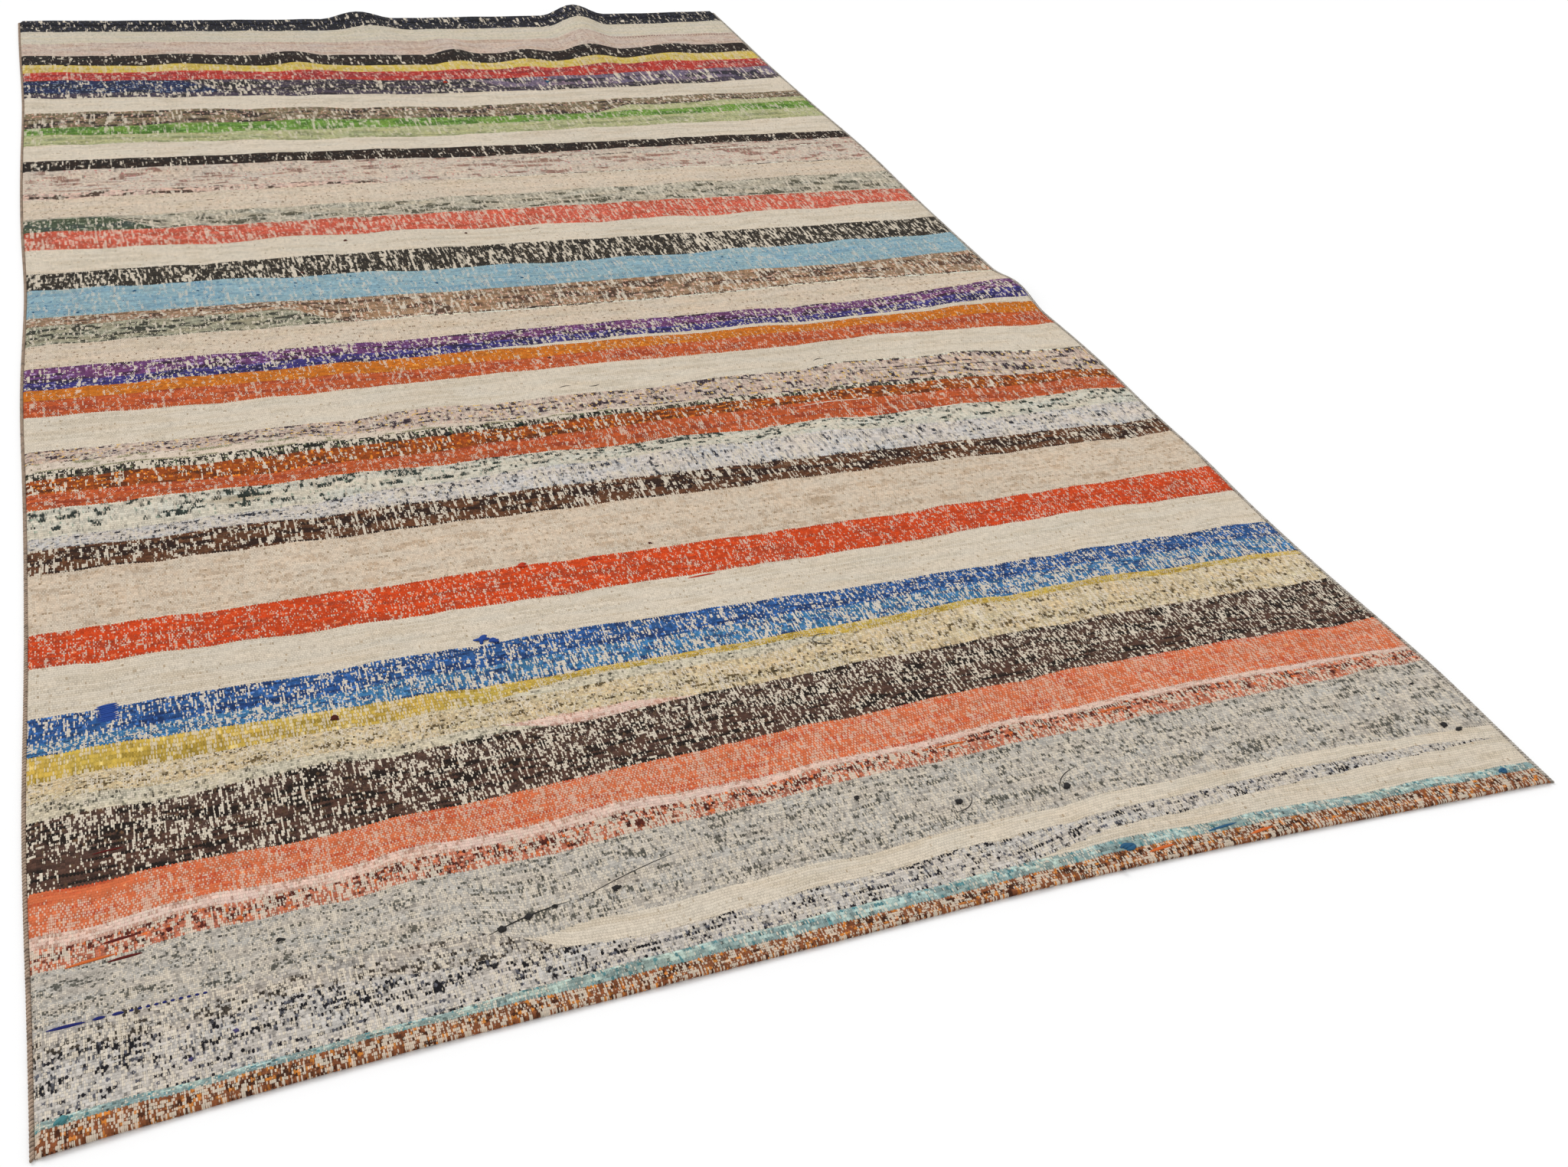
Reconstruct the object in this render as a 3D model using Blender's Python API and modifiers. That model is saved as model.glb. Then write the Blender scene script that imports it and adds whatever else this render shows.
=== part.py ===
"""A hand-woven rag rug, lying on a floor.

One long plain-woven cloth of rag yarns, with a hem turned under at each end, and an edging of
overcast yarn along each side. Its far end has not settled: low ripples run in from it.
Metres, +Z up, +Y towards the far end, origin on the floor under the middle of the rug.
"""

import math
from collections import namedtuple

import bmesh
import bpy
from mathutils import Vector

# Driving dimensions. Places on the rug are measured from its near left corner: x across, y along.
WIDTH = 1.83
LENGTH = 3.34
CLOTH_THICK = 0.0032
HEM_THICK = 0.0056
HEM_DEPTH = 0.034
HEM_STEP = 0.006
NEAR_BOW = 0.024
NEAR_WAVE = 0.005
FAR_BOW = 0.022
EDGING_DIAMETER = 0.0046
EDGING_GAP = 0.0003
COLUMNS = 56

CLOTH_COLOUR = (0.47, 0.41, 0.34, 1.0)
EDGING_COLOUR = (0.40, 0.31, 0.24, 1.0)
YARN_ROUGHNESS = 0.9

# A side swells outwards by `out` at `along`, and the swelling fades over `reach`.
Swelling = namedtuple("Swelling", "along out reach")
LEFT_SWELLINGS = (
    Swelling(along=0.42, out=0.005, reach=0.25),
    Swelling(along=1.38, out=0.003, reach=0.20),
    Swelling(along=1.80, out=-0.005, reach=0.20),
    Swelling(along=2.75, out=-0.006, reach=0.30),
)
RIGHT_SWELLINGS = (
    Swelling(along=0.25, out=0.010, reach=0.18),
    Swelling(along=0.84, out=0.007, reach=0.12),
    Swelling(along=1.20, out=0.014, reach=0.24),
    Swelling(along=2.25, out=0.008, reach=0.22),
    Swelling(along=2.85, out=-0.004, reach=0.25),
)

# A ripple is a low fold lifted off the floor. Its crest runs from the start to the end, and its
# foot reaches `half_base` to each side. A fading one is highest at its start, as at the rug's
# edge, and a humped one is highest half way along.
Ripple = namedtuple("Ripple", "kind start_x start_y end_x end_y height half_base")
RIPPLES = (
    Ripple("fading", 1.409, 3.340, 1.352, 2.830, 0.0285, 0.091),
    Ripple("fading", 0.813, 3.340, 0.880, 3.110, 0.019, 0.094),
    Ripple("humped", 0.590, 3.140, 0.655, 2.850, 0.009, 0.080),
    Ripple("humped", 1.014, 3.180, 1.010, 2.850, 0.012, 0.070),
    Ripple("humped", 1.225, 3.120, 1.155, 2.850, 0.010, 0.075),
    Ripple("humped", 0.290, 3.130, 0.455, 2.860, 0.006, 0.105),
    Ripple("humped", 1.665, 3.140, 1.480, 2.830, 0.008, 0.100),
    Ripple("fading", 1.850, 1.490, 1.480, 1.440, 0.015, 0.110),
)

# The rug's rows of faces, from the near end to the far one, closer where it is rippled. Cloth and
# edging share them, so that their facing sides stay parallel.
Span = namedtuple("Span", "upper_end rows")
SPANS = (
    Span(upper_end=HEM_DEPTH, rows=2),
    Span(upper_end=HEM_DEPTH + HEM_STEP, rows=1),
    Span(upper_end=1.33, rows=9),
    Span(upper_end=1.60, rows=6),
    Span(upper_end=2.80, rows=8),
    Span(upper_end=LENGTH - HEM_DEPTH - HEM_STEP, rows=12),
    Span(upper_end=LENGTH - HEM_DEPTH, rows=1),
    Span(upper_end=LENGTH, rows=2),
)


def swelling(swellings, along):
    """How far a side stands out of its straight line."""
    return sum(s.out * math.exp(-(((along - s.along) / s.reach) ** 2)) for s in swellings)


def left_side(along):
    """The outside of the left edging."""
    return -swelling(LEFT_SWELLINGS, along)


def right_side(along):
    """The outside of the right edging."""
    return WIDTH + swelling(RIGHT_SWELLINGS, along)


def ripple_height(ripple, x, y):
    """How far one ripple lifts the cloth at a place."""
    run_x = ripple.end_x - ripple.start_x
    run_y = ripple.end_y - ripple.start_y
    length = math.hypot(run_x, run_y)
    along = ((x - ripple.start_x) * run_x + (y - ripple.start_y) * run_y) / length**2
    aside = ((x - ripple.start_x) * run_y - (y - ripple.start_y) * run_x) / length
    if along >= 1 or abs(aside) >= ripple.half_base:
        return 0.0
    if ripple.kind == "fading":
        crest = math.cos(math.pi / 2 * max(along, 0.0))
    else:
        crest = math.sin(math.pi * along) if along > 0 else 0.0
    return ripple.height * crest * (1 + math.cos(math.pi * aside / ripple.half_base)) / 2


def lift(x, y):
    """Height of the cloth's underside over the floor."""
    return max(ripple_height(ripple, x, y) for ripple in RIPPLES)


def near_end(across):
    """How far the near end is drawn in from its corners. It waves a little."""
    bow = 4 * across * (1 - across)
    wave = (1 + math.cos(math.tau * (across - 0.08) / 0.58)) / 2
    return NEAR_BOW * bow + NEAR_WAVE * wave * math.sqrt(max(bow, 0.0))


def on_floor(across, along):
    """Place of a point of the cloth. Both run from 0 to 1 side to side and from 0 to LENGTH."""
    share = along / LENGTH
    rim = EDGING_DIAMETER + EDGING_GAP
    left = left_side(along) + rim
    right = right_side(along) - rim
    x = left + (right - left) * across
    y = along + near_end(across) * (1 - share) - FAR_BOW * 4 * across * (1 - across) * share
    return Vector((x, y, lift(x, y)))


def row_places():
    """Distances from the near end of the cloth's rows of points."""
    places = [0.0]
    for span in SPANS:
        start = places[-1]
        step = (span.upper_end - start) / span.rows
        places += [start + step * (i + 1) for i in range(span.rows)]
    return places


def yarn(name, colour):
    """A matt material for yarn."""
    material = bpy.data.materials.new(name)
    material.use_nodes = True
    shader = material.node_tree.nodes["Principled BSDF"]
    shader.inputs["Base Color"].default_value = colour
    shader.inputs["Roughness"].default_value = YARN_ROUGHNESS
    shader.inputs["Metallic"].default_value = 0.0
    return material


def make_cloth(collection, origin):
    """The woven cloth: an open sheet on its ripples, made solid, and twice as thick at the hems."""
    places = row_places()
    rows = len(places) - 1
    sheet = bmesh.new()
    bmesh.ops.create_grid(sheet, x_segments=COLUMNS, y_segments=rows, size=0.5)
    hem_points = []
    for vertex in sheet.verts:
        along = places[round((vertex.co.y + 0.5) * rows)]
        if along <= HEM_DEPTH or along >= LENGTH - HEM_DEPTH:
            hem_points.append(vertex.index)
        vertex.co = on_floor(vertex.co.x + 0.5, along)
    mesh = bpy.data.meshes.new("rug_cloth")
    sheet.to_mesh(mesh)
    sheet.free()
    mesh.materials.append(yarn("rag_weave", CLOTH_COLOUR))
    mesh.shade_smooth()

    cloth = bpy.data.objects.new("rug_cloth", mesh)
    collection.objects.link(cloth)
    cloth.parent = origin
    hem = cloth.vertex_groups.new(name="hem")
    hem.add(hem_points, 1.0, "REPLACE")
    solid = cloth.modifiers.new("cloth thickness", "SOLIDIFY")
    solid.thickness = HEM_THICK
    solid.offset = 1.0
    solid.vertex_group = "hem"
    solid.thickness_vertex_group = CLOTH_THICK / HEM_THICK
    return cloth


def make_edging(collection, origin, name, side, inwards, material):
    """Yarn whipped over one long side, as a round cord that follows the side and its lifts."""
    radius = EDGING_DIAMETER / 2
    path = bpy.data.curves.new(name, "CURVE")
    path.dimensions = "3D"
    path.bevel_depth = radius
    path.bevel_resolution = 2
    path.use_fill_caps = True
    places = row_places()
    line = path.splines.new("POLY")
    line.points.add(len(places) - 1)
    for along, point in zip(places, line.points):
        x = side(along) + inwards * radius
        point.co = (x, along, lift(x, along) + radius, 1.0)
    path.materials.append(material)

    edging = bpy.data.objects.new(name, path)
    collection.objects.link(edging)
    edging.parent = origin
    return edging


def stand_on_origin(origin, pieces):
    """Shifts the rug so that the middle of its box lies over the origin."""
    graph = bpy.context.evaluated_depsgraph_get()
    points = []
    for piece in pieces:
        evaluated = piece.evaluated_get(graph)
        points += [evaluated.matrix_world @ vertex.co for vertex in evaluated.to_mesh().vertices]
        evaluated.to_mesh_clear()
    lowest = Vector([min(point[axis] for point in points) for axis in range(3)])
    highest = Vector([max(point[axis] for point in points) for axis in range(3)])
    middle = (lowest + highest) / 2
    origin.location = (-middle.x, -middle.y, -lowest.z)


for old in list(bpy.data.objects):
    bpy.data.objects.remove(old, do_unlink=True)

rug = bpy.data.collections.new("rag_rug")
bpy.context.scene.collection.children.link(rug)
rug_origin = bpy.data.objects.new("rug_origin", None)
rug.objects.link(rug_origin)

edging_yarn = yarn("edging_yarn", EDGING_COLOUR)
pieces = [
    make_cloth(rug, rug_origin),
    make_edging(rug, rug_origin, "edging_left", left_side, 1, edging_yarn),
    make_edging(rug, rug_origin, "edging_right", right_side, -1, edging_yarn),
]
stand_on_origin(rug_origin, pieces)
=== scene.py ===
"""A hand-woven rag rug on a pale floor: its striped weave, hems, whipped sides, knots and loose ends.

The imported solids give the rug's place and size. Everything that shows is built here, in metres.
"""

import math
import random
from collections import namedtuple
from statistics import NormalDist

import bpy
import numpy as np
from mathutils import Matrix, Vector


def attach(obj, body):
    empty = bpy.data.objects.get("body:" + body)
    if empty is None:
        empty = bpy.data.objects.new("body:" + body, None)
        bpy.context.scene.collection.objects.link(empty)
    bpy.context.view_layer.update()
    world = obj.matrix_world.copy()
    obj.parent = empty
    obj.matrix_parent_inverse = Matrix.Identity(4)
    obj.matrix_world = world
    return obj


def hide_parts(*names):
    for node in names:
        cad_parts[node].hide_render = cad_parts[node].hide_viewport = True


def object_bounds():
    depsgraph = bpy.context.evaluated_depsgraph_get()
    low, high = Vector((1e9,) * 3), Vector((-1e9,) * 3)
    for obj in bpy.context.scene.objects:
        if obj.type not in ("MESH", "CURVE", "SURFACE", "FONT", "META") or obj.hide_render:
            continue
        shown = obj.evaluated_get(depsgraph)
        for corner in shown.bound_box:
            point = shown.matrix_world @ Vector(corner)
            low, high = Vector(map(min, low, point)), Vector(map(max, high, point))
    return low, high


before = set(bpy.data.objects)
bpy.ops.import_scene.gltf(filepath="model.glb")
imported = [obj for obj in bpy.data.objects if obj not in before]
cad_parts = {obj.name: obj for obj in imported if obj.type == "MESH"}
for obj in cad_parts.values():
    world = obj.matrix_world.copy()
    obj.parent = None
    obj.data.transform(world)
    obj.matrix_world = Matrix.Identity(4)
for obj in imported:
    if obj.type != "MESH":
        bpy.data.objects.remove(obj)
cad_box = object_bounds()

# How the rug lies. Its sides wander a little, its ends are drawn in towards their middles, and low
# ripples that have not settled run in from the far end and from one side. Places on the rug are
# measured from its near left corner: x across and y along.
WIDTH = 1.83
LENGTH = 3.34
NEAR_BOW = 0.024
NEAR_WAVE = 0.005
WAVE_CREST = 0.08
WAVE_LENGTH = 0.58
FAR_BOW = 0.022
CLOTH_THICK = 0.0032
HEM_THICK = 0.0056
HEM_DEPTH = 0.034
HEM_STEP = 0.006
RIM = 0.0049

Swelling = namedtuple("Swelling", "along out reach")
LEFT_SWELLINGS = (
    Swelling(0.42, 0.005, 0.25),
    Swelling(1.38, 0.003, 0.20),
    Swelling(1.80, -0.005, 0.20),
    Swelling(2.75, -0.006, 0.30),
)
RIGHT_SWELLINGS = (
    Swelling(0.25, 0.010, 0.18),
    Swelling(0.84, 0.007, 0.12),
    Swelling(1.20, 0.014, 0.24),
    Swelling(2.25, 0.008, 0.22),
    Swelling(2.85, -0.004, 0.25),
)

Ripple = namedtuple("Ripple", "kind start_x start_y end_x end_y height half_base")
RIPPLES = (
    Ripple("fading", 1.409, 3.340, 1.352, 2.830, 0.0285, 0.091),
    Ripple("fading", 0.813, 3.340, 0.880, 3.110, 0.019, 0.094),
    Ripple("humped", 0.590, 3.140, 0.655, 2.850, 0.009, 0.080),
    Ripple("humped", 1.014, 3.180, 1.010, 2.850, 0.012, 0.070),
    Ripple("humped", 1.225, 3.120, 1.155, 2.850, 0.010, 0.075),
    Ripple("humped", 0.290, 3.130, 0.455, 2.860, 0.006, 0.105),
    Ripple("humped", 1.665, 3.140, 1.480, 2.830, 0.008, 0.100),
    Ripple("fading", 1.850, 1.490, 1.480, 1.440, 0.015, 0.110),
)


def swelling(swellings, along):
    """How far a side stands out of its straight line."""
    return sum(s.out * np.exp(-(((along - s.along) / s.reach) ** 2)) for s in swellings)


def left_side(along):
    """The outside of the whipped left side."""
    return -swelling(LEFT_SWELLINGS, along)


def right_side(along):
    """The outside of the whipped right side."""
    return WIDTH + swelling(RIGHT_SWELLINGS, along)


def near_edge(across):
    """The near end, which is drawn in by its bow and waves a little. across runs from 0 to 1."""
    bow = 4 * across * (1 - across)
    wave = (1 + np.cos(math.tau * (across - WAVE_CREST) / WAVE_LENGTH)) / 2
    return NEAR_BOW * bow + NEAR_WAVE * wave * np.sqrt(bow)


def far_edge(across):
    """The far end."""
    return LENGTH - FAR_BOW * 4 * across * (1 - across)


def ripple_height(ripple, x, y):
    """How far one ripple lifts the cloth at a place."""
    run_x = ripple.end_x - ripple.start_x
    run_y = ripple.end_y - ripple.start_y
    length = math.hypot(run_x, run_y)
    along = ((x - ripple.start_x) * run_x + (y - ripple.start_y) * run_y) / length**2
    aside = ((x - ripple.start_x) * run_y - (y - ripple.start_y) * run_x) / length
    if ripple.kind == "fading":
        crest = np.cos(np.pi / 2 * np.clip(along, 0, 1))
    else:
        crest = np.sin(np.pi * np.clip(along, 0, 1))
    base = np.clip(aside / ripple.half_base, -1, 1)
    return ripple.height * crest * (1 + np.cos(np.pi * base)) / 2


def lift(x, y):
    """Height of the cloth's underside over the floor."""
    return np.max([ripple_height(ripple, x, y) for ripple in RIPPLES], axis=0)


outermost = left_side(np.linspace(0, LENGTH, 800)).min()
corner = Vector((cad_box[0].x - outermost, cad_box[0].y, 0.0))


# The rags. Each stripe is woven from strips of torn cloth in a main colour, with dashes of a second
# one and flecks of a third, over cream cotton warps. Where the rags are beaten in loosely the
# warps show as pale specks, in patches, and a slack warp shows as a pale slash.
Rag = namedtuple("Rag", "main second share dash fleck flecks speck patches slashes uneven pick")
# share and flecks are shares of the length, dash is in mm, speck is the share of the warps that
# shows, patches how much that changes, slashes how far slack warps show, uneven how much the picks
# differ, and pick a pick's height in mm.
RAGS = {
    "hem_rust": Rag("7a4628", "40200e", 0.30, 16, "b8702c", 0.18, 0.43, 1.0, 0.1, 0.14, 4.2),
    "teal": Rag("80928e", "aabcb2", 0.35, 22, "4f7c80", 0.10, 0.14, 1.0, 0.1, 0.08, 3.8),
    "white_dashed": Rag("b6afa7", "141218", 0.25, 7, "55555c", 0.10, 0.27, 0.9, 0.0, 0.05, 3.8),
    "greige": Rag("a59d94", "3a322a", 0.22, 8, "c0b4a4", 0.10, 0.30, 1.1, 0.0, 0.08, 3.8),
    "grey": Rag("aaa399", "54524a", 0.18, 7, "b6aea2", 0.10, 0.32, 0.9, 0.1, 0.06, 3.8),
    "rust_mixed": Rag("b4684e", "501e12", 0.30, 10, "c8642e", 0.10, 0.44, 1.1, 0.1, 0.14, 3.8),
    "pale_pink": Rag("d6b7a8", "b48c7a", 0.18, 7, "b08a7a", 0.06, 0.16, 0.5, 0.0, 0.05, 3.8),
    "coral": Rag("c4643c", "b84c2a", 0.22, 60, "dc9468", 0.03, 0.32, 0.48, 0.3, 0.07, 3.9),
    "charcoal": Rag("48332a", "1c120c", 0.35, 60, "5a4430", 0.08, 0.35, 1.5, 0.5, 0.12, 3.9),
    "charcoal_beaten": Rag("4a3228", "1a110b", 0.35, 70, "4a3524", 0.08, 0.28, 1.5, 0.4, 0.12, 3.9),
    "mint": Rag("beb49d", "4c473a", 0.17, 8, "8c8672", 0.08, 0.22, 0.9, 0.0, 0.06, 3.8),
    "mint_cream": Rag("c9b9a8", "8a8468", 0.22, 20, "8c7c68", 0.06, 0.06, 0.5, 0.0, 0.04, 3.8),
    "beige_dashed": Rag("c0ac88", "5c4c30", 0.20, 8, "cabb98", 0.10, 0.31, 1.1, 0.1, 0.08, 3.8),
    "mustard": Rag("bb9d43", "a08430", 0.20, 40, "d8be74", 0.06, 0.33, 0.7, 0.2, 0.08, 3.9),
    "blue": Rag("244c80", "193462", 0.32, 50, "3f6aa6", 0.10, 0.26, 1.5, 0.8, 0.12, 3.6),
    "blue_loose": Rag("346890", "24406a", 0.28, 40, "5a82ac", 0.10, 0.36, 1.4, 0.9, 0.12, 3.6),
    "cream": Rag("cabeac", "c0b39f", 0.30, 120, "a8967e", 0.03, 0.12, 0.3, 0.0, 0.03, 3.9),
    "brick": Rag("bb3c0a", "a63a18", 0.30, 60, "d8764e", 0.06, 0.14, 0.8, 0.4, 0.10, 3.9),
    "sand": Rag("c4b29d", "b49f88", 0.22, 14, "9c866c", 0.05, 0.16, 0.5, 0.0, 0.05, 3.9),
    "dark_brown": Rag("56341e", "28140a", 0.40, 50, "644a34", 0.10, 0.27, 1.4, 0.6, 0.14, 3.9),
    "white_flecked": Rag("bbb4ae", "26262e", 0.22, 7, "6c6c70", 0.08, 0.30, 0.9, 0.1, 0.10, 3.8),
    "mint_dashed": Rag("bdb7a7", "28302a", 0.19, 9, "8a9484", 0.06, 0.23, 0.8, 0.1, 0.10, 3.8),
    "terracotta": Rag("ac4c20", "963c1c", 0.30, 60, "c87250", 0.08, 0.13, 0.75, 0.5, 0.12, 3.9),
    "rust": Rag("883c06", "5a2806", 0.35, 40, "c4701e", 0.14, 0.17, 1.4, 0.4, 0.16, 3.8),
    "green_black": Rag("3c3228", "14140e", 0.45, 16, "6c7454", 0.12, 0.44, 1.5, 0.3, 0.12, 3.8),
    "olive_grey": Rag("b6a092", "362830", 0.24, 9, "cda85e", 0.08, 0.22, 1.0, 0.1, 0.12, 3.8),
    "amber": Rag("b7640e", "b06010", 0.25, 60, "d8923c", 0.06, 0.07, 0.9, 0.4, 0.08, 3.4),
    "blue_dotted": Rag("342c6c", "221c40", 0.32, 30, "7c75a2", 0.10, 0.23, 1.4, 0.6, 0.14, 3.3),
    "purple": Rag("603460", "301c30", 0.30, 60, "a88aae", 0.12, 0.21, 1.3, 0.5, 0.20, 3.4),
    "cream_flecked": Rag("c5b4a0", "bfae98", 0.28, 60, "86705a", 0.05, 0.16, 0.5, 0.0, 0.05, 3.9),
    "sage": Rag("8b8772", "34342a", 0.28, 18, "a8a58d", 0.10, 0.18, 1.1, 0.2, 0.12, 3.8),
    "brown_pink": Rag("8a6e54", "4e382a", 0.28, 40, "c49a84", 0.12, 0.28, 1.2, 0.3, 0.18, 3.7),
    "sky_blue": Rag("829ea7", "7494a2", 0.30, 50, "46708c", 0.04, 0.12, 0.6, 0.3, 0.08, 3.8),
    "charcoal_far": Rag("2a241c", "1f1a14", 0.35, 50, "5a5041", 0.08, 0.30, 1.4, 0.9, 0.12, 3.9),
    "coral_red": Rag("bc523c", "a84830", 0.30, 60, "dc8a72", 0.08, 0.25, 0.8, 0.8, 0.12, 3.9),
    "dark_teal": Rag("404a36", "38423a", 0.30, 30, "8c947d", 0.10, 0.17, 1.1, 0.3, 0.12, 3.8),
    "sage_grey": Rag("a79f8d", "545040", 0.18, 24, "bcb29c", 0.08, 0.21, 1.0, 0.1, 0.08, 3.8),
    "pink_beige": Rag("bcac9c", "8a6a5c", 0.14, 30, "b0706a", 0.05, 0.14, 0.7, 0.0, 0.08, 3.9),
    "dotted_dark": Rag("c4a596", "4a382c", 0.22, 14, "c8b29e", 0.08, 0.17, 1.0, 0.1, 0.10, 3.8),
    "black_brown": Rag("1c0c02", "150c06", 0.36, 50, "463527", 0.10, 0.045, 1.4, 0.8, 0.12, 3.9),
    "olive_beige": Rag("a3a377", "868a60", 0.25, 40, "7c8259", 0.05, 0.13, 0.7, 0.1, 0.08, 3.8),
    "green": Rag("62852f", "44681e", 0.25, 50, "84ab5d", 0.08, 0.20, 0.8, 0.6, 0.12, 3.8),
    "brown_grey": Rag("72644a", "322820", 0.28, 36, "b48c7c", 0.12, 0.18, 1.2, 0.3, 0.18, 3.7),
    "blue_grey": Rag("66586a", "28242e", 0.30, 40, "8c7585", 0.12, 0.21, 1.4, 0.6, 0.16, 3.7),
    "blue_mixed": Rag("162044", "181c2c", 0.32, 30, "7c8aa0", 0.10, 0.09, 1.4, 0.6, 0.16, 3.7),
    "navy_brown": Rag("3c3240", "1e1a1c", 0.35, 40, "6a5d59", 0.10, 0.23, 1.4, 0.6, 0.14, 3.7),
    "crimson": Rag("a32c20", "862626", 0.30, 50, "cc7470", 0.08, 0.11, 0.8, 0.7, 0.12, 3.9),
    "yellow": Rag("bfa642", "b0963c", 0.22, 50, "d8c482", 0.05, 0.31, 0.5, 0.2, 0.05, 4.4),
    "black": Rag("1a0a02", "150e0a", 0.35, 50, "463931", 0.08, 0.03, 1.4, 0.8, 0.10, 3.9),
    "far_pink": Rag("b8a496", "ac9686", 0.30, 60, "94766c", 0.05, 0.12, 0.5, 0.1, 0.08, 3.8),
    "dark_line": Rag("cecebc", "2a2018", 0.42, 9, "6a5a4a", 0.12, 0.24, 0.8, 0.0, 0.12, 3.8),
    "green_cream": Rag("bfb5a4", "beb49f", 0.30, 90, "a39c86", 0.05, 0.10, 0.4, 0.0, 0.05, 3.8),
    "navy": Rag("13121a", "14141a", 0.35, 50, "3c3e52", 0.08, 0.06, 1.5, 0.8, 0.12, 4.0),
}

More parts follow.
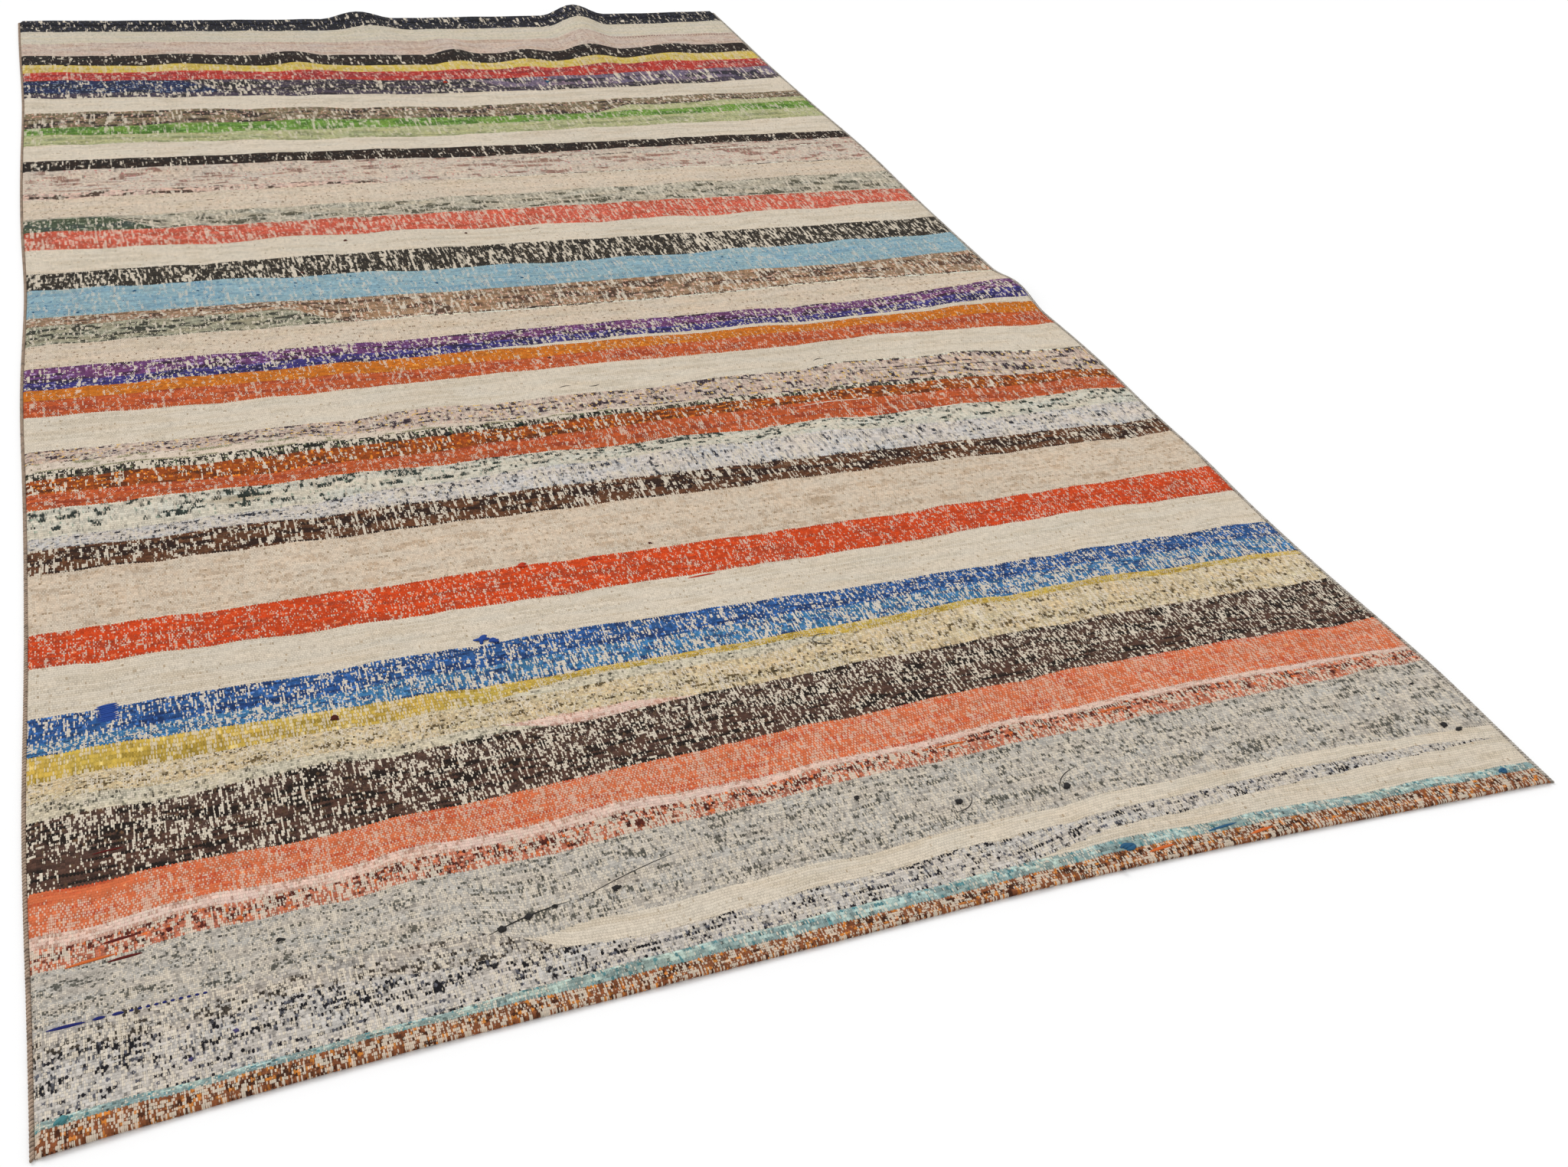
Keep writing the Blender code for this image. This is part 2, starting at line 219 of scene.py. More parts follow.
# The stripes, from the near end to the far one. at0 to at1830 give a stripe's upper border, in mm
# along the rug, at seven places across it. One that starts or stops at a place across the rug is
# woven over a part of the width, and its picks run out one by one.
STATIONS = (0, 300, 600, 900, 1200, 1500, 1830)
Stripe = namedtuple(
    "Stripe",
    "rag at0 at300 at600 at900 at1200 at1500 at1830 starts stops",
    defaults=(None, None),
)
STRIPES = (
    Stripe("hem_rust", 27, 41, 42, 45, 52, 40, 27),
    Stripe("teal", 37, 48, 62, 65, 72, 58, 42),
    Stripe("cream", 37, 48, 62, 72, 90, 96, 95, starts=1080),
    Stripe("white_dashed", 110, 120, 92, 105, 118, 118, 104, stops=1810),
    Stripe("greige", 150, 150, 150, 150, 150, 150, 150, stops=520),
    Stripe("cream", 112, 122, 130, 138, 146, 143, 118, starts=450),
    Stripe("grey", 220, 235, 240, 255, 262, 262, 263),
    Stripe("rust_mixed", 251, 265, 274, 283, 295, 298, 289),
    Stripe("pale_pink", 271, 282, 293, 294, 305, 309, 296),
    Stripe("coral", 332, 336, 349, 364, 375, 377, 365),
    Stripe("charcoal_beaten", 384, 392, 402, 412, 420, 422, 412),
    Stripe("charcoal", 440, 450, 448, 462, 470, 475, 470),
    Stripe("mint", 472, 470, 468, 468, 470, 475, 470, stops=600),
    Stripe("pale_pink", 472, 470, 470, 472, 470, 475, 470, starts=520, stops=800),
    Stripe("beige_dashed", 507, 509, 514, 516, 543, 545, 540),
    Stripe("mint", 507, 509, 533, 536, 544, 545, 540, starts=540, stops=1060),
    Stripe("mustard", 555, 550, 544, 548, 555, 560, 549),
    Stripe("blue_loose", 575, 578, 588, 588, 592, 598, 592),
    Stripe("blue", 622, 624, 632, 631, 628, 632, 633),
    Stripe("cream", 718, 713, 712, 714, 716, 730, 724),
    Stripe("brick", 791, 789, 792, 789, 790, 796, 802),
    Stripe("sand", 923, 922, 922, 921, 922, 919, 918),
    Stripe("dark_brown", 981, 982, 985, 982, 976, 970, 964),
    Stripe("white_flecked", 1010, 1015, 1036, 1045, 1050, 1030, 1030),
    Stripe("mint_dashed", 1085, 1086, 1085, 1082, 1085, 1083, 1082),
    Stripe("terracotta", 1128, 1116, 1124, 1138, 1148, 1134, 1120),
    Stripe("rust", 1165, 1163, 1168, 1176, 1176, 1175, 1152),
    Stripe("green_black", 1187, 1188, 1190, 1190, 1190, 1186, 1160, stops=1620),
    Stripe("mint_cream", 1211, 1211, 1200, 1196, 1192, 1186, 1160, stops=1130),
    Stripe("olive_grey", 1246, 1241, 1256, 1251, 1262, 1266, 1234),
    Stripe("dark_line", 1246, 1241, 1256, 1251, 1266, 1271, 1239, starts=1240),
    Stripe("cream", 1352, 1341, 1347, 1353, 1347, 1360, 1338),
    Stripe("terracotta", 1403, 1400, 1393, 1396, 1400, 1400, 1393),
    Stripe("amber", 1436, 1436, 1436, 1433, 1430, 1428, 1426),
    Stripe("cream", 1437, 1436, 1444, 1443, 1441, 1438, 1442, starts=690),
    Stripe("blue_dotted", 1460, 1464, 1464, 1469, 1464, 1461, 1478),
    Stripe("purple", 1509, 1507, 1501, 1503, 1502, 1499, 1520),
    Stripe("cream_flecked", 1590, 1589, 1584, 1577, 1579, 1591, 1579),
    Stripe("dark_line", 1590, 1589, 1588, 1581, 1583, 1595, 1583, starts=500),
    Stripe("sage", 1660, 1655, 1650, 1650, 1650, 1650, 1650, stops=520),
    Stripe("brown_pink", 1690, 1690, 1678, 1672, 1675, 1664, 1683),
    Stripe("sky_blue", 1800, 1793, 1778, 1768, 1765, 1770, 1773),
    Stripe("charcoal_far", 1868, 1866, 1871, 1865, 1860, 1855, 1857),
    Stripe("cream", 1972, 1954, 1962, 1945, 1944, 1942, 1952),
    Stripe("coral_red", 2052, 2035, 2036, 2034, 2034, 2028, 2020),
    Stripe("dark_teal", 2106, 2106, 2100, 2100, 2100, 2100, 2100, stops=240),
    Stripe("sage_grey", 2112, 2108, 2108, 2110, 2118, 2120, 2125),
    Stripe("cream_flecked", 2205, 2206, 2207, 2202, 2204, 2203, 2203),
    Stripe("dotted_dark", 2235, 2235, 2232, 2206, 2208, 2207, 2207, stops=720),
    Stripe("dark_line", 2205, 2206, 2207, 2206, 2208, 2207, 2207, starts=790),
    Stripe("pink_beige", 2290, 2292, 2294, 2297, 2303, 2307, 2303),
    Stripe("dark_line", 2294, 2296, 2298, 2301, 2307, 2311, 2307, starts=900, stops=1780),
    Stripe("pink_beige", 2353, 2350, 2345, 2323, 2335, 2340, 2340),
    Stripe("black_brown", 2410, 2401, 2398, 2385, 2381, 2386, 2383),
    Stripe("cream", 2495, 2488, 2467, 2457, 2470, 2475, 2487),
    Stripe("olive_beige", 2555, 2537, 2530, 2523, 2527, 2540, 2550),
    Stripe("green", 2592, 2595, 2590, 2570, 2565, 2577, 2602),
    Stripe("olive_beige", 2592, 2595, 2590, 2570, 2600, 2615, 2632, starts=1260),
    Stripe("brown_grey", 2685, 2683, 2668, 2640, 2645, 2665, 2670),
    Stripe("cream", 2783, 2765, 2750, 2733, 2733, 2745, 2770),
    Stripe("navy_brown", 2813, 2795, 2780, 2763, 2763, 2775, 2800),
    Stripe("blue_mixed", 2900, 2881, 2860, 2830, 2828, 2845, 2868, stops=430),
    Stripe("navy_brown", 2900, 2881, 2860, 2830, 2828, 2845, 2868, stops=1090),
    Stripe("blue_grey", 2900, 2881, 2860, 2830, 2828, 2845, 2868),
    Stripe("crimson", 2955, 2937, 2916, 2893, 2893, 2911, 2930),
    Stripe("yellow", 3010, 2981, 2961, 2941, 2944, 2960, 2992),
    Stripe("black", 3074, 3055, 3045, 3020, 3017, 3035, 3060),
    Stripe("far_pink", 3160, 3162, 3140, 3128, 3125, 3134, 3151),
    Stripe("green_cream", 3255, 3242, 3232, 3222, 3222, 3235, 3255),
    Stripe("navy", 3340, 3328, 3321, 3318, 3321, 3327, 3340),
)

# The woven cloth: one closed sheet whose rows of faces follow the stripes, rounded where it folds
# under at the two ends, doubled over at the hems, and drawn thin under the whipping at the sides.
MM = 0.001
COLUMN_STEP = 0.0180
RIM_STEPS = (0.0, 0.0003, 0.0008, 0.0030, 0.0062)
ROW_STEP = 0.0110
HEM_ROW_STEP = 0.0045
FOLD_SHARES = np.array((0.01, 0.03))
TAPER = 0.090
TEETH_OFF = 9
EASED_PLACES = 184
EASING = 9
STEADY = 0.06
THINNEST = 0.00002
WHIPPED = 0.0060
WHIPPED_THICK = 0.0016
PROUD = 0.0003
COCKLE = 0.0011
WAVER_COUNT = 14
WAVER_SIZE = 0.0005
WAVER_LENGTHS = (0.045, 0.26)
WAVER_CREEPS = (0.07, 0.50)

rim_steps = np.array(RIM_STEPS) / WIDTH
middle = np.linspace(rim_steps[-1], 1 - rim_steps[-1], round(WIDTH / COLUMN_STEP))
across = np.concatenate((rim_steps[:-1], middle, 1 - rim_steps[-2::-1]))
plain_x = across * WIDTH

# The stripes waver by a sum of waves, each with its two rates, its start and its size, which is
# WAVER_SIZE for a wave 0.1 m long.
waver_draws = random.Random(51)
waves = []
for _ in range(WAVER_COUNT):
    wavelength = waver_draws.uniform(*WAVER_LENGTHS)
    creep = waver_draws.uniform(*WAVER_CREEPS) * waver_draws.choice((-1, 1))
    phase = waver_draws.uniform(0, math.tau)
    size = WAVER_SIZE * math.sqrt(wavelength / 0.1)
    waves.append((math.tau / wavelength, math.tau / creep, phase, size))


def waver(x, y):
    """How far the stripes waver from their lines at a place."""
    return sum(size * np.sin(x * kx + y * ky + phase) for kx, ky, phase, size in waves)


def border_line(stripe):
    """A stripe's upper border along the columns, eased round its bends."""
    places = np.linspace(0, WIDTH, EASED_PLACES)
    line = np.interp(places, np.array(STATIONS) * MM, np.array(stripe[1:8]) * MM)
    bell = np.hanning(2 * EASING + 1)
    padded = np.pad(line, EASING, mode="reflect", reflect_type="odd")
    eased = np.convolve(padded, bell / bell.sum(), mode="valid")
    return np.interp(plain_x, places, eased)


def woven_share(stripe):
    """1 where a stripe is woven, 0 where it isn't, and between them where its picks run out."""
    starts = -TAPER if stripe.starts is None else stripe.starts * MM
    stops = WIDTH + TAPER if stripe.stops is None else stripe.stops * MM
    share = np.minimum((plain_x - starts) / TAPER, (stops - plain_x) / TAPER)
    return np.clip(share, 0, 1)


def border_places():
    """Every border from the near end to the far one, along the columns."""
    near, far = near_edge(across), far_edge(across)
    borders = [near]
    for stripe in STRIPES[:-1]:
        line = border_line(stripe)
        line = line + waver(plain_x, line) * np.clip((line - near) / STEADY, 0, 1)
        woven = borders[-1] + np.maximum(line - borders[-1], 0) * woven_share(stripe)
        borders.append(woven)
    borders.append(far)
    return borders


def cockle(x, y):
    """The shallow unevenness of a cloth that has been folded and laid out again."""
    swell = np.sin(x * 31 + 1.5 * np.sin(y * 9)) * np.sin(y * 23 + 1.2 * np.sin(x * 13))
    swell = swell + 0.6 * np.sin(x * 63 + y * 17) * np.sin(y * 47 - x * 9)
    return COCKLE * np.clip(0.5 + 0.5 * swell, 0, None)


def smooth(share):
    """A soft step from 0 to 1."""
    share = np.clip(share, 0, 1)
    return share * share * (3 - 2 * share)


def from_rims(across_share, y):
    """How far a place is from the nearer end and from the nearer side."""
    from_end = np.minimum(y - near_edge(across_share), far_edge(across_share) - y)
    return from_end, np.minimum(across_share, 1 - across_share) * WIDTH


def thickness(across_share, y):
    """The cloth's thickness away from its rounded rims: more at the hems, less at the sides."""
    from_end, from_side = from_rims(across_share, y)
    hem = 1 - smooth((from_end - HEM_DEPTH) / HEM_STEP)
    full = CLOTH_THICK + (HEM_THICK - CLOTH_THICK) * hem
    return WHIPPED_THICK + (full - WHIPPED_THICK) * smooth(from_side / WHIPPED)


def rounding(across_share, y):
    """How much of its thickness the cloth has near its rims: none at the very edge."""
    from_end, from_side = from_rims(across_share, y)
    end = 1 - np.clip(from_end / (HEM_THICK / 2), 0, 1)
    side = 1 - np.clip(from_side / (WHIPPED_THICK / 2), 0, 1)
    return np.sqrt(np.clip(1 - end**2, 0, 1)) * np.sqrt(np.clip(1 - side**2, 0, 1))


def cloth_x(across_share, y):
    """Where a warp runs, between the whipped sides."""
    left = left_side(y) + RIM
    return left + (right_side(y) - RIM - left) * across_share


def row_shares(number, height):
    """Where a stripe's rows of faces lie, as shares of its height. The end rows are rounded."""
    last = len(STRIPES) - 1
    at_hem = number < 4 or number > last - 2
    count = max(1, math.ceil(height / (HEM_ROW_STEP if at_hem else ROW_STEP)))
    shares = np.linspace(0, 1, count + 1)
    if number == 0:
        return np.concatenate(([0.0], FOLD_SHARES, shares[1:]))
    if number == last:
        return np.concatenate((shares[:-1], 1 - FOLD_SHARES[::-1], [1.0]))
    return shares


rag_names = list(RAGS)
borders = border_places()
points, faces, face_rags, face_first, runs, maps = [], [], [], [], [], []
point_at = {}


def add_point(x, y, z):
    """The number of the point at a place, which is made once."""
    key = (round(x * 1e5), round(y * 1e5), round(z * 1e5))
    if key not in point_at:
        point_at[key] = len(points)
        points.append((corner.x + x, corner.y + y, z))
    return point_at[key]


def rag_beside(number, column, step):
    """The rag of the nearest stripe that is woven at a column, on one side of a stripe."""
    beside = number + step
    while 0 <= beside < len(STRIPES):
        if borders[beside + 1][column] - borders[beside][column] > MM:
            return rag_names.index(STRIPES[beside].rag)
        beside += step
    return rag_names.index(STRIPES[number].rag)


Row = namedtuple("Row", "x y upper lower pick")


def stripe_rows(number, picks):
    """A stripe's rows of points, with the pick that each point lies on."""
    lower = borders[number]
    height = borders[number + 1] - lower
    rows = []
    for share in row_shares(number, height.max()):
        y = lower + height * share
        x = cloth_x(across, y)
        thick = thickness(across, y) + PROUD * math.sin(math.pi * share)
        half = thick / 2 * rounding(across, y)
        middle_z = lift(x, y) + cockle(x, y) + thick / 2
        rows.append(Row(x, y, middle_z + half, middle_z - half, first_pick + picks * share))
    return rows


def add_face(ring, side, beside, start_pick, stop_picks):
    """A face of the cloth's upper or lower side, and the rags and picks that it shows."""
    made = {}
    for row, column in ring:
        height_here = getattr(row, side)[column]
        made.setdefault(add_point(row.x[column], row.y[column], height_here), (row, column))
    if len(made) < 3:
        return
    faces.append(list(made))
    face_rags.append(beside)
    face_first.append(start_pick)
    for row, column in made.values():
        runs.append((across[column] * WIDTH / MM, row.pick[column], stop_picks[column]))
        maps.append((row.y[column] / LENGTH, across[column]))


first_pick = 0
for number, stripe in enumerate(STRIPES):
    height = borders[number + 1] - borders[number]
    pick_height = RAGS[stripe.rag].pick * MM
    picks = height / pick_height
    if stripe.starts is None and stripe.stops is None:
        picks = np.full(len(across), max(1, round(height.mean() / pick_height)), float)
    rows = stripe_rows(number, picks)
    # Nothing lies before the first stripe, so its teeth are set far off.
    start_pick = first_pick - (TEETH_OFF if number == 0 else 0)
    for near_row, far_row in zip(rows, rows[1:]):
        for column in range(len(across) - 1):
            if max(height[column], height[column + 1]) < THINNEST:
                continue
            before = rag_beside(number, column, -1)
            beside = (before, rag_names.index(stripe.rag), rag_beside(number, column, 1))
            ring = [(near_row, column), (near_row, column + 1), (far_row, column + 1), (far_row, column)]
            add_face(ring, "upper", beside, start_pick, first_pick + picks)
            add_face(ring[::-1], "lower", beside, start_pick, first_pick + picks)
    first_pick += math.ceil(picks.max())


def new_piece(name, points, faces):
    """A smooth mesh object in the scene."""
    mesh = bpy.data.meshes.new(name)
    mesh.from_pydata(points, [], faces)
    mesh.shade_smooth()
    piece = bpy.data.objects.new(name, mesh)
    bpy.context.scene.collection.objects.link(piece)
    return piece


cloth = new_piece("rug_cloth_woven", points, faces)
for name, kind, domain, field, values in (
    ("run", "FLOAT_VECTOR", "CORNER", "vector", runs),
    ("rags", "FLOAT_VECTOR", "FACE", "vector", face_rags),
    ("first", "FLOAT", "FACE", "value", face_first),
):
    layer = cloth.data.attributes.new(name, kind, domain)
    layer.data.foreach_set(field, np.array(values, np.float32).ravel())
bake_map = cloth.data.uv_layers.new(name="OFBake")
bake_map.uv.foreach_set("vector", np.clip(np.array(maps, np.float32), 0, 1).ravel())


class Strand:
    """A socket among a material's nodes. Arithmetic on strands adds the Math nodes for it."""

    def __init__(self, tree, socket=None):
        self.tree = tree
        self.socket = socket

    def node(self, kind, settings=None, sockets=None, out=0):
        """A new node's output. Its settings are set first, then its sockets' values or links."""
        made = self.tree.nodes.new("ShaderNode" + kind)
        for name, value in (settings or {}).items():
            if name == "stops":
                made.color_ramp.interpolation = "CONSTANT"
                made.color_ramp.elements.remove(made.color_ramp.elements[1])
                for at, colour in value[1:]:
                    made.color_ramp.elements.new(at)
                for stop, (at, colour) in zip(made.color_ramp.elements, value):
                    stop.position = at
                    stop.color = colour
            else:
                setattr(made, name, value)
        for name, value in (sockets or {}).items():
            if isinstance(value, Strand):
                self.tree.links.new(value.socket, made.inputs[name])
            else:
                made.inputs[name].default_value = value
        return Strand(self.tree, made.outputs[out])

    def also(self, out):
        """Another output of the node that this strand comes from."""
        return Strand(self.tree, self.socket.node.outputs[out])

    def feed(self, socket):
        """Links this strand to a shader's socket."""
        self.tree.links.new(self.socket, socket)

    def maths(self, operation, *others):
        """A Math node that takes this strand first."""
        return self.node("Math", {"operation": operation}, dict(enumerate((self, *others))))

    def __add__(self, other):
        return self.maths("ADD", other)

    def __sub__(self, other):
        return self.maths("SUBTRACT", other)

    def __mul__(self, other):
        return self.maths("MULTIPLY", other)

    def __truediv__(self, other):
        return self.maths("DIVIDE", other)

    def __gt__(self, other):
        return self.maths("GREATER_THAN", other)

    def __lt__(self, other):
        return self.maths("LESS_THAN", other)

    def __rsub__(self, other):
        return self.node("Math", {"operation": "SUBTRACT"}, {0: other, 1: self})

    __radd__ = __add__
    __rmul__ = __mul__

    def held(self):
        """Held between 0 and 1."""
        return self.node("Clamp", {}, {"Value": self})


# The weave's finish. A warp passes over each second pick and shows there as a pale oval, and the
# rags beside it bulge past their row, so a border between two stripes is a row of small teeth.
# Lengths across are in mm, and those along in picks. Dashes and specks grow every GRAIN picks.
WARP_PITCH = 1.92
WARP_WANDER = 2.4
BEAT_WANDER = 0.6
BEAT_JITTER = 0.35
TOOTH_START = 0.27
TOOTH_SLOPE = 0.35
WARP_CREAM = "ebdfcc"
WARP_GREY = "ccbea8"
WARP_EDGE = 4
NOISE_SPREAD = 0.135
SHADE_STEPS = 32
COLOUR_EDGE = 16
CLUSTERS = 0.45
PICK_CHANCE = 0.22
GRAIN = 250
DRIFT = 2.7
STREAK_SHARE = 0.70
KNOT_SHARE = 0.66
PATCHINESS = 1.35
SLACK = 2.6
GATHERS = 1.4
TONE = 1.12
FIBRE = 0.5
# How dark the painted shadow dots in the hollows between picks are.
HOLLOW_SHADE = 0.5
WEAR = 0.16
YARN_GLOSS = 0.25
STAIN = "b39a72"

# Places where the rags were beaten closer, so that no warps show, or were left looser. They fade
# over their reach. A stain is a soft brown patch. All in mm from the near left corner.
Place = namedtuple("Place", "x y reach_x reach_y more")
BEATEN = (
    Place(60, 332, 90, 26, -0.9),
    Place(120, 300, 20, 130, 0.45),
    Place(40, 372, 60, 15, -0.9),
    Place(36, 198, 52, 22, -0.8),
    Place(87, 402, 40, 22, -0.9),
    Place(129, 345, 18, 14, -1.0),
    Place(161, 424, 28, 14, -0.8),
    Place(346, 440, 34, 14, -0.8),
    Place(296, 384, 64, 12, -0.8),
    Place(1050, 394, 66, 14, -0.8),
    Place(1457, 396, 84, 16, -0.9),
    Place(144, 588, 34, 15, -0.9),
    Place(303, 618, 36, 17, -0.9),
    Place(90, 528, 70, 16, -0.8),
    Place(670, 384, 56, 16, -0.9),
    Place(363, 418, 26, 12, -0.8),
    Place(1776, 378, 40, 14, -0.8),
    Place(485, 598, 38, 14, -0.7),
    Place(1645, 603, 42, 15, -0.8),
    Place(95, 1172, 46, 15, -0.7),
    Place(1292, 942, 50, 16, -0.8),
    Place(503, 102, 32, 9, 0.5),
    Place(178, 356, 34, 12, -0.8),
    Place(285, 408, 30, 9, 0.5),
    Place(722, 1816, 34, 26, -1.0),
)
STAINS = (
    Place(1135, 855, 34, 13, 0.5),
    Place(285, 1056, 52, 12, 0.6),
)


def dye(code, alpha=1.0):
    """A colour written as six hexadecimal digits, as shaders take it."""
    channels = [int(code[at : at + 2], 16) / 255 for at in (0, 2, 4)]
    linear = [c / 12.92 if c <= 0.04045 else ((c + 0.055) / 1.055) ** 2.4 for c in channels]
    return (*linear, alpha)


def cut(share):
    """The level that a noise passes over that share of its length."""
    return 0.5 + NOISE_SPREAD * NormalDist().inv_cdf(1 - share)


def speck_level(rag):
    """How far warps show through on average, for the rag's share of specks."""
    return 0.6 + DRIFT * rag.patches * (rag.speck - 0.5)


def new_finish(name, gloss):
    """A new material and its shader."""
    material = bpy.data.materials.new(name)
    material.use_nodes = True
    shader = material.node_tree.nodes["Principled BSDF"]
    shader.inputs["Specular IOR Level"].default_value = gloss
    return material, shader


weave, shader = new_finish("rag_weave", YARN_GLOSS)
start = Strand(weave.node_tree)


def joined(x, y=0.0, z=0.0):
    """A vector of three numbers."""
    return start.node("CombineXYZ", {}, {0: x, 1: y, 2: z})


def noise(x, y=0.0, z=0.0, detail=0.0):
    """Soft noise from 0 to 1, one unit wide."""
    return start.node("TexNoise", {}, {"Vector": joined(x, y, z), "Scale": 1.0, "Detail": detail})


def chance(x, y=0.0, z=0.0):
    """A value from 0 to 1 that is drawn anew at each whole place."""
    return start.node("TexWhiteNoise", {}, {"Vector": joined(x, y, z)})


def parts(vector):
    """A vector's three numbers."""
    x = start.node("SeparateXYZ", {}, {0: vector})
    return x, x.also(1), x.also(2)


def kept(name, out="Vector"):
    """What the mesh keeps of a place under a name."""
    return start.node("Attribute", {"attribute_name": name}, out=out)


def blend(low, high, share, kind="MIX"):
    """A colour between two others."""
    settings = {"data_type": "RGBA", "blend_type": kind}
    return share.node("Mix", settings, {0: share, 6: low, 7: high}, out=2)


def scaled(colour, by):
    """A lighter or darker colour."""
    return colour.node("VectorMath", {"operation": "SCALE"}, {0: colour, "Scale": by})


# Where a place lies in the weave: on which warp and pick, which both wander, and how far aside of
# the one's middle and ahead of the other's.
across_mm, pick, last = parts(kept("run"))
below, here, above = parts(kept("rags"))
first = kept("first", out="Fac")
warp = across_mm / WARP_PITCH + (noise(across_mm / 70, pick / 30) - 0.5) * WARP_WANDER
beat = pick + (noise(across_mm / 34, pick / 5, 4.0) - 0.5) * BEAT_WANDER
beat = beat + (noise(across_mm / 6, pick / 2, 9.0) - 0.5) * BEAT_JITTER
column = warp.maths("FLOOR")
row = beat.maths("FLOOR")
aside = warp - column - 0.5
ahead = beat - row - 0.5

# The pick that shows there, which may bulge from the next row, and its rag.
over = (column + row).maths("FLOORED_MODULO", 2.0)
tooth = ahead.maths("ABSOLUTE") > aside.maths("ABSOLUTE") * TOOTH_SLOPE + TOOTH_START
shown = row + over * tooth * ahead.maths("SIGN")
rag = here + ((shown + 0.5) > last) * (above - here) + ((shown + 0.5) < first) * (below - here)


def of_rag(values):
    """Four numbers of each rag, looked up by the rag's number in two ramps of constant steps."""
    halves = []
    for start_at in (0, SHADE_STEPS):
        part = values[start_at : start_at + SHADE_STEPS]
        stops = [(at / SHADE_STEPS, value) for at, value in enumerate(part)]
        key = (rag - (start_at - 0.5)) / SHADE_STEPS
        halves.append(start.node("ValToRGB", {"stops": stops}, {0: key}))
    far = rag > SHADE_STEPS - 0.5
    colour = blend(halves[0], halves[1], far)
    alphas = [half.also("Alpha") for half in halves]
    return colour, alphas[0] + (alphas[1] - alphas[0]) * far


main, level = of_rag([dye(r.main, (speck_level(r) + 4) / 8) for r in RAGS.values()])
level = level * 8 - 4
second, second_cut = of_rag([dye(r.second, cut(r.share)) for r in RAGS.values()])
fleck, fleck_cut = of_rag([dye(r.fleck, cut(r.flecks)) for r in RAGS.values()])
traits, uneven = of_rag([(10 / r.dash, r.patches / 2, r.slashes, r.uneven) for r in RAGS.values()])
dash_rate, patches, slashes = parts(traits)
patches = patches * 2

# The rag's colour there: its main one, its dashes, or its flecks.
grain = (pick / GRAIN).maths("FLOOR")
cluster = noise(across_mm / 55, pick / 5, 1.0) - 0.5
shown_row = (shown / (grain * 0.75 + 1)).maths("FLOOR")
thread = noise(across_mm * dash_rate / (grain * 4 + 10), shown_row * 3.7, 1.0, detail=1.0)
dashes = thread + cluster * CLUSTERS + (chance(shown_row, 2.0) - 0.5) * PICK_CHANCE
spots = noise(across_mm / 7, shown * 0.7, 2.0)
rag_colour = blend(main, second, ((dashes - second_cut) * COLOUR_EDGE + 0.5).held())
rag_colour = blend(rag_colour, fleck, ((spots - fleck_cut) * COLOUR_EDGE + 0.5).held())

ground_x, ground_y, _ = parts(start.node("TexCoord", out="Object"))
ground_x = (ground_x - corner.x) / MM
ground_y = (ground_y - corner.y) / MM


def near_places(places):
    """The sum of what each place adds."""
    total = 0.0
    for place in places:
        aside_of = (ground_x - place.x) / place.reach_x
        along_of = (ground_y - place.y) / place.reach_y
        near = (1 - aside_of * aside_of - along_of * along_of).held()
        total = near * place.more + total
    return total


# How loosely the rags are beaten there: by patches, reed marks, slack warps that run on for a few
# picks, gathers, and chance. The looser they are, the more of the warp shows.
patch = noise(across_mm / 34, pick / 5.5, 5.0, detail=2.0) - 0.5
reed = noise(across_mm / 18, pick / 70, 12.0) - 0.5
slack = noise((across_mm + pick * 0.12) / 2.8, pick / 7, 7.0) - 0.5
gather = noise((across_mm - pick * 0.2) / 6.5, pick / 8, 13.0) - 0.5
knot_row = (row / (grain * 0.75 + 1)).maths("FLOOR")
knot = (warp / (grain * 0.4 + 1.6) + knot_row * 0.5).maths("FLOOR")
streak = (column / (grain * 0.5 + 1)).maths("FLOOR")
streak_row = (row / (grain * 1.4 + 3) + chance(streak, 6.0)).maths("FLOOR")
drift = (chance(streak, streak_row, 2.0) - 0.5) * (STREAK_SHARE * DRIFT)
drift = drift + (chance(knot, knot_row, 4.0) - 0.5) * (KNOT_SHARE * DRIFT)
drift = drift + patch * PATCHINESS + reed
drift = drift + slashes * (slack * SLACK + gather * GATHERS + 0.06)
loose = level + patches * drift + near_places(BEATEN)
ring = aside * aside * 2 + ahead * ahead * 2 + (1 - over) * 0.5
warp_shows = ((loose - ring) * WARP_EDGE + 0.5).held()

# Each pick's tone and fibres, and painted shade in the hollows between and within picks.
fibre = noise(across_mm / 1.1, shown * 5.1, 3.0) - 0.5
tone = TONE + (chance(shown, 1.0) - 0.5) * uneven * 2 + fibre * FIBRE
tone = tone + (chance((warp / 2.5).maths("FLOOR"), row, 3.0) - 0.5) * (patches * 0.5 + 0.04)
# Painted shade: a share of the cells gets a dark dot where the rags dip under the warps, and each pick
# darkens towards its edges.
shadow_dot_share = 0.02 + (0.20 - slashes * 0.5) * ((patches - 0.5) * 2.5).held()
painted_shadow_dots = ((chance(knot, knot_row, 5.0) + shadow_dot_share - 1) * 8).held()
painted_hollow_shade = painted_shadow_dots * HOLLOW_SHADE + (1 - over) * ahead * ahead * 1.3
rag_colour = scaled(rag_colour, tone - painted_hollow_shade)
tint = (noise(across_mm / 80, shown / 5, 20.0) - 0.5) * (uneven * 1.6 + 0.03)
warmth = joined(1 + tint, 1.0, 1 - tint)
rag_colour = start.node("VectorMath", {"operation": "MULTIPLY"}, {0: rag_colour, 1: warmth})
warp_colour = blend(dye(WARP_CREAM), dye(WARP_GREY), noise(across_mm / 2.6, pick / 26, 8.0))
warp_colour = blend(warp_colour, rag_colour, (0.60 - patches * 0.33).held())
# Painted shade: each warp oval is lighter in its middle and darker towards its edges.
warp_colour = scaled(warp_colour, 1.06 - aside * aside * 0.5 - ahead * ahead * 0.4)
colour = blend(rag_colour, warp_colour, warp_shows)
worn = noise(across_mm / 420, pick / 95, 11.0, detail=2.0) - 0.5
colour = scaled(colour, 1 + worn * WEAR)
colour = blend(colour, dye(STAIN), near_places(STAINS), "MULTIPLY")

